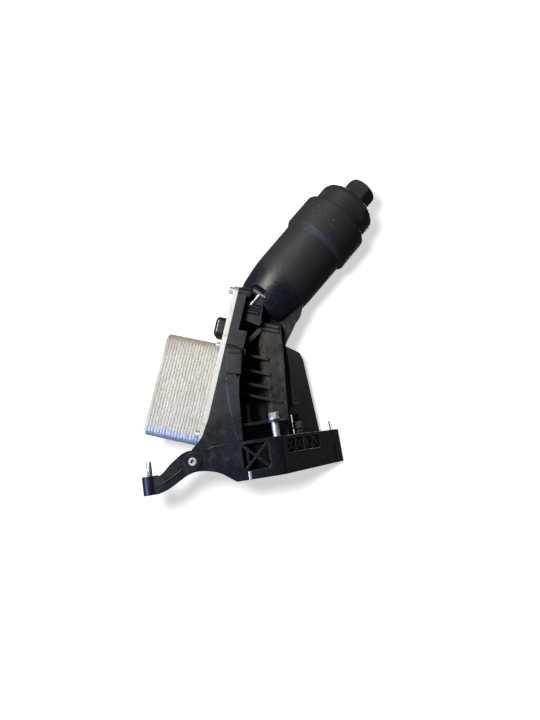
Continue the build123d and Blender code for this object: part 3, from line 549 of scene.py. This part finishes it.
nodeSlots = {entry["node"]: entry["material_slot"] for entry in frame["record"]["subparts"]}
nodeBodies = {node: body for body, nodes in frame["record"]["behaviour"]["bodies"].items() for node in nodes}


def addObject(name, data):
    made = bpy.data.objects.new(name, data)
    bpy.context.scene.collection.objects.link(made)
    return made


def addPiece(name, mesh, slot, body, nodes=()):
    # puts a finished mesh in the scene, on its body, in the place of its CAD nodes
    mesh.name = name
    piece = addObject(name, mesh)
    if not mesh.materials:
        mesh.materials.append(finishes[slot])
    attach(piece, body)
    if nodes:
        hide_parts(*nodes)
    return piece


def meshFrom(bm):
    mesh = bpy.data.meshes.new("made")
    bm.to_mesh(mesh)
    bm.free()
    return mesh


merging = {"distance": 2e-6, "shortest": 1e-6, "sharpAngle": 30.0, "weight": 50}


def smoothCopy(node):
    # the CAD node's own shape, merged, so that its round faces shade smoothly
    mesh = frame["nodes"][node].data.copy()
    bm = bmesh.new()
    bm.from_mesh(mesh)
    bmesh.ops.remove_doubles(bm, verts=bm.verts, dist=merging["distance"])
    bmesh.ops.dissolve_degenerate(bm, edges=bm.edges, dist=merging["shortest"])
    for face in bm.faces:
        face.smooth = True
    limit = math.radians(merging["sharpAngle"])
    for edge in bm.edges:
        edge.smooth = len(edge.link_faces) == 2 and edge.calc_face_angle(0.0) < limit
    bm.to_mesh(mesh)
    bm.free()
    mesh.materials.clear()
    return mesh


def weighNormals(piece):
    # flat faces keep their own direction next to rounded edges
    weigh = piece.modifiers.new("weighNormals", "WEIGHTED_NORMAL")
    weigh.mode = "FACE_AREA"
    weigh.weight = merging["weight"]
    weigh.keep_sharp = True


smoothPieces = {
    "housing_body": "mouldedHousing",
    "cap": "screwCap",
    "coolant_elbow": "elbowMoulding",
    "cooler_base_plate": "coolerBasePlate",
    "cooler_foot_plate": "coolerFootPlate",
    "cooler_end_plate": "coolerEndPlate",
    "cooler_screws": "coolerScrews",
    "mount_bolt_front": "frontBolt",
    "mount_bolt_right": "rightBolt",
    "bolt_sleeve_front": "frontBoltSleeve",
    "bolt_sleeve_right": "rightBoltSleeve",
    "arm_sleeve": "armSleeve",
    "locating_sleeve": "locatingSleeve",
    "rear_pin": "rearPin",
    "dowel_pin": "dowelPin",
    "disc_screw": "discScrew",
    "filter_core": "filterCore",
    "filter_upper_disc": "filterUpperDisc",
    "filter_lower_disc": "filterLowerDisc",
    "filter_grommets": "filterGrommets",
    "standpipe": "standpipeMoulding",
    "check_cage": "checkCage",
    "check_valve": "checkDisc",
    "bypass_valve": "bypassDisc",
    "bypass_seat": "bypassSeat",
}
for node, name in smoothPieces.items():
    weighNormals(addPiece(name, smoothCopy(node), nodeSlots[node], nodeBodies[node], (node,)))
for node, carried in frame["nodes"].items():
    # nodes that stay as they are get their finish
    carried.data.materials.clear()
    carried.data.materials.append(finishes[nodeSlots[node]])
print("smooth pieces made:", len(smoothPieces))


def geometryTree(name, **sizes):
    # a tree with a named input for each size, the start of its flow and the inputs' flows
    tree = bpy.data.node_groups.new(name, "GeometryNodeTree")
    tree.interface.new_socket("Geometry", in_out="OUTPUT", socket_type="NodeSocketGeometry")
    sizes["Material"] = ["Finish"]
    for kind, labels in sizes.items():
        for label in labels:
            tree.interface.new_socket(label, in_out="INPUT", socket_type="NodeSocket" + kind)
    start = Flow(tree).node("NodeGroupInput")
    return tree, start, {label: start.other(label) for labels in sizes.values() for label in labels}


def endTree(flow, finish):
    # instances become mesh, get their material, and leave the tree
    real = flow.node("GeometryNodeRealizeInstances", None, {0: flow})
    real.node("GeometryNodeSetMaterial", None, {"Geometry": real, "Material": finish}).end("NodeGroupOutput")


def grow(tree, values, place):
    # runs the tree with its sizes and gives back a plain mesh, put in place
    holder = addObject("holder", bpy.data.meshes.new("holder"))
    modifier = holder.modifiers.new("grow", "NODES")
    modifier.node_group = tree
    for item in tree.interface.items_tree:
        if item.in_out == "INPUT":
            modifier[item.identifier] = values[item.name]
    shaped = holder.evaluated_get(bpy.context.evaluated_depsgraph_get())
    mesh = bpy.data.meshes.new_from_object(shaped)
    holder.modifiers.remove(modifier)
    bpy.data.objects.remove(holder)
    mesh.transform(place)
    return mesh


plateStack = {
    "Length": 125.6, "Width": 73.5, "Corner": 11.8, "Pitch": 3.55, "Plates": 18,
    "Edge depth": 2.2, "Edge height": 3.44, "Edge round": 0.3, "Wander": 0.6, "Seed": 7,
}
stackLook = {
    "station": 69.2, "reach": 116.4,
    "cornerSteps": 7, "roundSteps": 3, "edgeStep": 2.2,
    "waves": {"Scale": 0.22, "Detail": 3.0, "Roughness": 0.7}, "seedStep": 3.7, "swing": (2.0, 2.0, 3.0),
    "middleInset": 0.3, "middleHeight": 0.96, "weld": 0.001,
}


def plateStackTree():
    look = stackLook
    tree, start, size = geometryTree(
        "coolerPlateStack", Int=["Plates", "Seed"],
        Float=["Length", "Width", "Corner", "Pitch", "Edge depth", "Edge height", "Edge round", "Wander"])

    def rectangle(width, height):
        return start.node("GeometryNodeCurvePrimitiveQuadrilateral", None, {"Width": width, "Height": height})

    def outline(inset):
        shape = rectangle(size["Length"] - 2 * inset, size["Width"] - 2 * inset)
        return shape.fillet(look["cornerSteps"], size["Corner"] - inset)

    edge = outline(size["Edge depth"] * 0.5).resample(look["edgeStep"])
    edge = start.node("GeometryNodeSetCurveNormal", {"mode": "Z_UP"}, {"Curve": edge})
    section = rectangle(size["Edge depth"], size["Edge height"])
    ring = edge.sweep(section.fillet(look["roundSteps"], size["Edge round"]))
    step = start.node("ShaderNodeCombineXYZ", None, {2: size["Pitch"]})
    line = start.node("GeometryNodeMeshLine", None, {"Count": size["Plates"], "Offset": step})
    rings = start.node("GeometryNodeInstanceOnPoints", None, {"Points": line, "Instance": ring})
    rings = start.node("GeometryNodeRealizeInstances", None, {0: rings})

    # the brazed edges wander a little, in and out and up and down
    spot = start.node("GeometryNodeInputPosition")
    noise = start.node("ShaderNodeTexNoise", {"noise_dimensions": "4D"},
                       {"Vector": spot, "W": size["Seed"] * look["seedStep"], **look["waves"]}, "Color")
    centred = start.vectors("SUBTRACT", noise, (0.5, 0.5, 0.5))
    reach = start.node("ShaderNodeCombineXYZ", None,
                       {k: size["Wander"] * part for k, part in enumerate(look["swing"])})
    rings = start.node("GeometryNodeSetPosition", None,
                       {"Geometry": rings, "Offset": start.vectors("MULTIPLY", centred, reach)})

    # the solid middle that the edges stand out of
    face = start.node("GeometryNodeFillCurve", {"mode": "NGONS"},
                      {"Curve": outline(size["Edge depth"] * look["middleInset"])})
    tall = size["Pitch"] * (size["Plates"] - 1.0) + size["Edge height"] * look["middleHeight"]
    drop = start.node("ShaderNodeCombineXYZ", None, {2: size["Edge height"] * (-look["middleHeight"] / 2)})
    face = start.node("GeometryNodeTransform", None, {"Geometry": face, "Translation": drop})
    walls = start.node("GeometryNodeExtrudeMesh", {"mode": "FACES"},
                       {"Mesh": face, "Offset Scale": tall, "Individual": False})
    middle = walls.joinWith(start.node("GeometryNodeFlipFaces", None, {"Mesh": face}))
    middle = start.node("GeometryNodeMergeByDistance", None, {"Geometry": middle, "Distance": look["weld"]})
    endTree(rings.shade(True).joinWith(middle.shade(False)), size["Finish"])
    return tree


stackMesh = grow(plateStackTree(), {**plateStack, "Finish": finishes["cooler_aluminium"]},
                 flangePlace() @ Matrix.Translation((stackLook["station"], 0, stackLook["reach"])))
addPiece("coolerPlates", stackMesh, "cooler_aluminium", "housing", ("cooler_core",))
print("cooler plates:", len(stackMesh.polygons), "faces")


def beadTree():
    # a rounded bead along a path, thinner towards its ends
    tree, start, size = geometryTree("mouldedBead", Object=["Path"], Float=["Radius", "End share", "Step"])
    path = start.node("GeometryNodeObjectInfo", None, {"Object": size["Path"]}, "Geometry")
    along = start.node("GeometryNodeSplineParameter", out="Factor")
    arch = (along * (1 - along) * 4) ** 0.5
    thick = size["Radius"] * (size["End share"] + (1 - size["End share"]) * arch)
    ring = start.node("GeometryNodeCurvePrimitiveCircle", None, {"Resolution": 12, "Radius": 1.0})
    bead = path.resample(size["Step"]).sweep(ring, **{"Scale": thick, "Fill Caps": True})
    endTree(bead.shade(True), size["Finish"])
    return tree


def drawPath(points, closed=False):
    # a smooth curve through the points, in millimetres
    curve = bpy.data.curves.new("path", "CURVE")
    curve.dimensions = "3D"
    spline = curve.splines.new("BEZIER")
    spline.bezier_points.add(len(points) - 1)
    for knot, point in zip(spline.bezier_points, points):
        knot.co = point
        knot.handle_left_type = knot.handle_right_type = "AUTO"
    spline.use_cyclic_u = closed
    spline.resolution_u = 12
    return addObject("path", curve)


def circlePoints(x, y, z, radius, count=8):
    turns = (k * 2 * math.pi / count for k in range(count))
    return [(x + radius * math.cos(a), y, z + radius * math.sin(a)) for a in turns]


beads = {
    "armGlintBead": {"points": [(-156.5, -49.9, 6.3), (-151.0, -50.1, 8.4), (-138.5, -50.1, 13.6),
                                (-127.0, -50.1, 19.6), (-120.5, -49.9, 24.0)],
                     "Radius": 1.3, "End share": 0.3},
    "shelfSeamBead": {"points": [(-90.0, -50.0, 41.0), (-84.5, -50.0, 42.4), (-69.5, -50.0, 43.0),
                                 (-55.4, -50.0, 43.2)],
                      "Radius": 0.55, "End share": 0.5},
    "discRing": {"points": circlePoints(-108.4, -50.0, 29.8, 9.3), "Radius": 0.45, "End share": 1.0,
                 "closed": True},
}
beadShape = beadTree()
for name, look in beads.items():
    path = drawPath(look["points"], look.get("closed", False))
    values = {**look, "Path": path, "Step": 1.0, "Finish": finishes["housing_plastic"]}
    mesh = grow(beadShape, values, toMetres)
    bpy.data.objects.remove(path)
    addPiece(name, mesh, "housing_plastic", "housing")
print("beads:", len(beads))


pillarLeaf = {
    "left": [(-58.6, 119.5), (-60.0, 112.0), (-60.4, 104.0), (-60.2, 91.0), (-59.0, 77.5), (-56.0, 63.8),
             (-53.2, 52.0), (-51.8, 45.5)],
    "right": [(-47.5, 119.8), (-44.8, 112.0), (-44.6, 104.0), (-46.2, 91.0), (-47.6, 78.0), (-48.9, 64.0),
              (-50.2, 52.0), (-51.0, 45.5)],
    "wall": -50.0, "front": -52.4, "sunk": 0.3, "rootDepth": 1.2,
    "rows": 40, "columns": 16, "shoulder": 0.40, "topRun": 6, "footRun": 9, "rightRun": 12,
}


def bend(points, t):
    # a smooth line through the points; t runs from 0 to 1
    spot = t * (len(points) - 1)
    i = min(int(spot), len(points) - 2)
    u = spot - i
    before, after = points[max(i - 1, 0)], points[min(i + 2, len(points) - 1)]
    return tuple(0.5 * (2 * b + (c - a) * u + (2 * a - 5 * b + 4 * c - d) * u * u
                        + (3 * b - a - 3 * c + d) * u ** 3)
                 for a, b, c, d in zip(before, points[i], points[i + 1], after))


def leafMesh():
    # the swelling on the pillar: it rises from the wall along its curved left side
    look = pillarLeaf
    low = look["wall"] + look["sunk"]
    bm = bmesh.new()
    grid = []
    for row in range(look["rows"] + 1):
        t = row / look["rows"]
        (xl, zl), (xr, zr) = bend(look["left"], t), bend(look["right"], t)
        swell = min(1.0, look["topRun"] * t, look["footRun"] * (1 - t)) ** 0.5
        line = []
        for column in range(look["columns"] + 1):
            s = column / look["columns"]
            rise = min(1.0, s / look["shoulder"]) * min(1.0, (1 - s) * look["rightRun"]) ** 0.5
            y = low + (look["front"] - low) * rise * swell
            line.append(bm.verts.new((xl + (xr - xl) * s, y, zl + (zr - zl) * s)))
        grid.append(line)
    for upper, lower in zip(grid, grid[1:]):
        for a, b, c, d in zip(upper, upper[1:], lower[1:], lower):
            bm.faces.new((a, b, c, d)).smooth = True
    rim = ([line[0] for line in grid] + grid[-1][1:] + [line[-1] for line in reversed(grid[:-1])]
           + grid[0][-2:0:-1])
    back = [bm.verts.new((v.co.x, look["wall"] + look["rootDepth"], v.co.z)) for v in rim]
    for k in range(len(rim)):
        bm.faces.new((rim[k], rim[k - 1], back[k - 1], back[k]))
    bm.faces.new(back)
    bmesh.ops.recalc_face_normals(bm, faces=bm.faces)
    mesh = meshFrom(bm)
    mesh.transform(toMetres)
    return mesh


addPiece("pillarLeaf", leafMesh(), "housing_plastic", "housing")


raisedPads = {
    "flangePad": {"corners": [(-52.2, 154.5), (-33.4, 150.6), (-39.0, 119.4), (-58.4, 123.6)],
                  "from": -45.5, "to": -50.9, "edge": 1.4},
    "flangePadLedge": {"corners": [(-50.8, 152.6), (-35.6, 149.6), (-36.6, 144.0), (-52.4, 147.2)],
                       "from": -50.5, "to": -52.0, "edge": 0.7},
    "recessBar": {"corners": [(-42.6, 85.0), (-36.6, 85.0), (-36.6, 63.0), (-42.6, 63.0)],
                  "from": -26.0, "to": -34.0, "edge": 1.6},
}


def padMesh(look):
    # a flat raised pad with rounded edges on a wall that faces front
    bm = bmesh.new()
    face = bm.faces.new([bm.verts.new((x, look["from"], z)) for x, z in look["corners"]])
    grown = bmesh.ops.extrude_face_region(bm, geom=[face])
    bmesh.ops.translate(bm, vec=(0, look["to"] - look["from"], 0),
                        verts=[v for v in grown["geom"] if isinstance(v, bmesh.types.BMVert)])
    halfway = (look["from"] + look["to"]) / 2
    front = [e for e in bm.edges if any(v.co.y < halfway for v in e.verts)]
    bmesh.ops.bevel(bm, geom=front, offset=look["edge"], segments=3, profile=0.5, affect="EDGES")
    bmesh.ops.recalc_face_normals(bm, faces=bm.faces)
    mesh = meshFrom(bm)
    mesh.transform(toMetres)
    for polygon in mesh.polygons:
        polygon.use_smooth = True
    return mesh


for name, look in raisedPads.items():
    weighNormals(addPiece(name, padMesh(look), "housing_plastic", "housing"))
print("pads:", len(raisedPads))


threadSizes = {"Radius": 2.98, "Depth": 0.14, "Pitch": 1.0, "Length": 14.0}
studLook = {"place": (-160.3, -42.5, 1.0), "height": 36.0, "shank": 2.98, "collar": 2.4, "collarTop": 20.6,
            "footRadius": 1.7, "footChamfer": 0.6, "tipChamfer": 0.8, "tipInset": 0.7, "threadOverlap": 0.5}


def threadTree():
    # a ridge that climbs round a shank
    tree, start, size = geometryTree("threadRidge", Float=["Radius", "Depth", "Pitch", "Length"])
    climb = start.node("GeometryNodeCurveSpiral", None,
                       {"Resolution": 24, "Rotations": size["Length"] / size["Pitch"],
                        "Height": size["Length"], "Start Radius": size["Radius"],
                        "End Radius": size["Radius"]})
    ridge = start.node("GeometryNodeCurvePrimitiveCircle", None, {"Resolution": 6, "Radius": size["Depth"]})
    endTree(climb.sweep(ridge, **{"Fill Caps": True}).shade(True), size["Finish"])
    return tree


def turnedMesh(outline, steps=40):
    # a solid turned from an outline of (radius, height), closed at both ends
    bm = bmesh.new()
    rings = [[bm.verts.new((r * math.cos(a), r * math.sin(a), z))
              for a in (2 * math.pi * k / steps for k in range(steps))] for r, z in outline]
    for low, high in zip(rings, rings[1:]):
        for k in range(steps):
            bm.faces.new((low[k - 1], low[k], high[k], high[k - 1])).smooth = True
    bm.faces.new(list(reversed(rings[0])))
    bm.faces.new(rings[-1])
    return meshFrom(bm)


def studMesh():
    look = studLook
    top = look["height"]
    outline = [(look["footRadius"], 0.0), (look["collar"], look["footChamfer"]),
               (look["collar"], look["collarTop"]), (look["shank"], look["collarTop"]),
               (look["shank"], top - look["tipChamfer"]), (look["shank"] - look["tipInset"], top)]
    thread = grow(threadTree(), {**threadSizes, "Finish": finishes["steel"]},
                  Matrix.Translation((0, 0, look["collarTop"] - look["threadOverlap"])))
    bm = bmesh.new()
    for mesh in (turnedMesh(outline), thread):
        bm.from_mesh(mesh)
    whole = meshFrom(bm)
    whole.transform(Matrix.Translation(Vector(look["place"]) * mm) @ toMetres)
    return whole


addPiece("armStud", studMesh(), "steel", "housing", ("arm_stud",))


pleatSizes = {"Pleats": 40, "Inside": 16.2, "Outside": 32.9, "Fold": 0.7, "Paper": 0.6, "Height": 121.4}
pleatMiddle = 90.0


def pleatTree():
    # paper folded into a star all round the core
    tree, start, size = geometryTree("filterPleats", Int=["Pleats"],
                                     Float=["Inside", "Outside", "Fold", "Paper", "Height"])
    star = start.node("GeometryNodeCurveStar", None,
                      {"Points": size["Pleats"], "Inner Radius": size["Inside"],
                       "Outer Radius": size["Outside"]})
    star = star.fillet(4, size["Fold"])
    folds = start.node("GeometryNodeSetCurveNormal", {"mode": "Z_UP"}, {"Curve": star})
    sheet = start.node("GeometryNodeCurvePrimitiveQuadrilateral", None,
                       {"Width": size["Paper"], "Height": size["Height"]})
    endTree(folds.sweep(sheet).shade(False), size["Finish"])
    return tree


pleatMesh = grow(pleatTree(), {**pleatSizes, "Finish": finishes["filter_paper"]},
                 bowlPlace() @ Matrix.Translation((0, 0, pleatMiddle)))
addPiece("filterPleats", pleatMesh, "filter_paper", "filter_insert", ("filter_pleats",))
print("stud and pleats made:", len(pleatMesh.polygons), "faces of paper")


cameraLook = {"pitch": 10.2, "roll": 9.0, "place": (-4.0, -620.0, 28.7), "pixels": 496.0,
              "picture": 720, "sensor": 36.0, "near": 0.01, "far": 50}
stageLook = {"behind": 70.0, "half": 3000.0, "paper": (0.90, 0.90, 0.90), "cloud": 3.0, "cloudShare": 0.98,
             "lift": 0.56, "liftFar": 1.05, "middle": (-40.0, 70.0, 170.0), "fade": (0.20, 0.62),
             "world": 0.075, "mirrored": 0.06}
lampTarget = (0, 0, 0.15)
lamps = {
    "key": {"from": (-520, -1080, 700), "size": 380, "tall": 850, "power": 23.0,
            "colour": (1.0, 0.975, 0.93), "lights": "part"},
    "window": {"from": (-800, -520, -150), "size": 400, "tall": 1000, "power": 17.0,
               "colour": (0.32, 0.49, 1.0), "lights": "part"},
    "shade": {"from": (-120, -640, 150), "size": 140, "tall": 140, "power": 4.4,
              "colour": (1.0, 1.0, 1.0), "lights": "paper"},
    "back": {"from": (500, 800, 700), "size": 700, "tall": 700, "power": 14.0,
             "colour": (1.0, 1.0, 1.0), "lights": "part"},
}


def addCamera():
    look = cameraLook
    pitch, roll = math.radians(look["pitch"]), math.radians(look["roll"])
    ahead = Vector((0, math.cos(pitch), math.sin(pitch)))
    right, up = Vector((1, 0, 0)), Vector((0, -math.sin(pitch), math.cos(pitch)))
    across = math.cos(roll) * right - math.sin(roll) * up
    above = math.sin(roll) * right + math.cos(roll) * up
    lens = bpy.data.cameras.new("photoCamera")
    lens.sensor_width = look["sensor"]
    lens.lens = look["pixels"] / look["picture"] * look["sensor"]
    lens.clip_start, lens.clip_end = look["near"], look["far"]
    camera = addObject("photoCamera", lens)
    turned = Matrix((across, above, -ahead)).transposed().to_4x4()
    camera.matrix_world = Matrix.Translation(Vector(look["place"]) * mm) @ turned
    bpy.context.scene.camera = camera


def addLamp(name, look, paper):
    light = bpy.data.lights.new(name, "AREA")
    light.shape = "ELLIPSE"
    light.size, light.size_y = look["size"] * mm, look["tall"] * mm
    light.energy = look["power"]
    light.color = look["colour"]
    lamp = addObject(name, light)
    listed = bpy.data.collections.new(name + "Lights")
    listed.objects.link(paper)
    state = "INCLUDE" if look["lights"] == "paper" else "EXCLUDE"
    listed.collection_objects[0].light_linking.link_state = state
    lamp.light_linking.receiver_collection = listed
    place = Vector(look["from"]) * mm
    aim = (place - Vector(lampTarget)).to_track_quat("Z", "Y").to_matrix().to_4x4()
    lamp.matrix_world = Matrix.Translation(place) @ aim


def paperFinish():
    # the pale surface behind keeps the shadow; it is see-through from its back
    look = stageLook
    material = bpy.data.materials.new("palePaper")
    material.use_nodes = True
    f = Flow(material.node_tree)
    f.tree.nodes.clear()
    place = f.node("ShaderNodeTexCoord", out="Object")
    cloud = f.node("ShaderNodeTexNoise", None, {"Vector": place, "Scale": look["cloud"]})
    tint = cloud.paint(look["paper"], [look["cloudShare"] * part for part in look["paper"]])
    lit = f.node("ShaderNodeBsdfDiffuse", None, {"Color": tint})
    # the near lamp fades outwards, so the surface's own light makes up for it there
    outward = f.vectors("LENGTH", f.vectors("SUBTRACT", place, Vector(look["middle"]) * mm), out="Value")
    level = outward.rise(*look["fade"]).paint([look["lift"]] * 3, [look["liftFar"]] * 3)
    glow = f.node("ShaderNodeEmission", None, {"Color": level, "Strength": 1.0})
    both = f.node("ShaderNodeAddShader", None, {0: lit, 1: glow})
    clear = f.node("ShaderNodeBsdfTransparent")
    path = f.node("ShaderNodeLightPath")
    shown = (path.other("Is Camera Ray") + path.other("Is Transmission Ray")
             + path.other("Is Glossy Ray") * look["mirrored"])
    back = f.node("ShaderNodeNewGeometry", out="Backfacing")
    seen = f.node("ShaderNodeMixShader", None, {0: shown * (1 - back), 1: clear, 2: both})
    seen.end("ShaderNodeOutputMaterial")
    return material


def addPaper():
    h, y = stageLook["half"] * mm, stageLook["behind"] * mm
    mesh = bpy.data.meshes.new("palePaper")
    mesh.from_pydata([(-h, y, -h), (h, y, -h), (h, y, h), (-h, y, h)], [], [(0, 1, 2, 3)])
    mesh.materials.append(paperFinish())
    paper = addObject("palePaper", mesh)
    return paper


def addWorld():
    world = bpy.data.worlds.new("studio")
    bpy.context.scene.world = world
    world.use_nodes = True
    f = Flow(world.node_tree)
    f.tree.nodes.clear()
    path = f.node("ShaderNodeLightPath")
    shown = f.maths("MAXIMUM", path.other("Is Camera Ray"), path.other("Is Transmission Ray"))
    level = stageLook["world"] + shown * (1.0 - stageLook["world"])
    sky = f.node("ShaderNodeBackground", None, {"Color": rgb((1, 1, 1)), "Strength": level})
    sky.end("ShaderNodeOutputWorld")


addCamera()
addWorld()
paper = addPaper()
for name, look in lamps.items():
    addLamp(name, look, paper)
bpy.context.scene.view_settings.view_transform = "Standard"
print("stage, lamps and camera set")
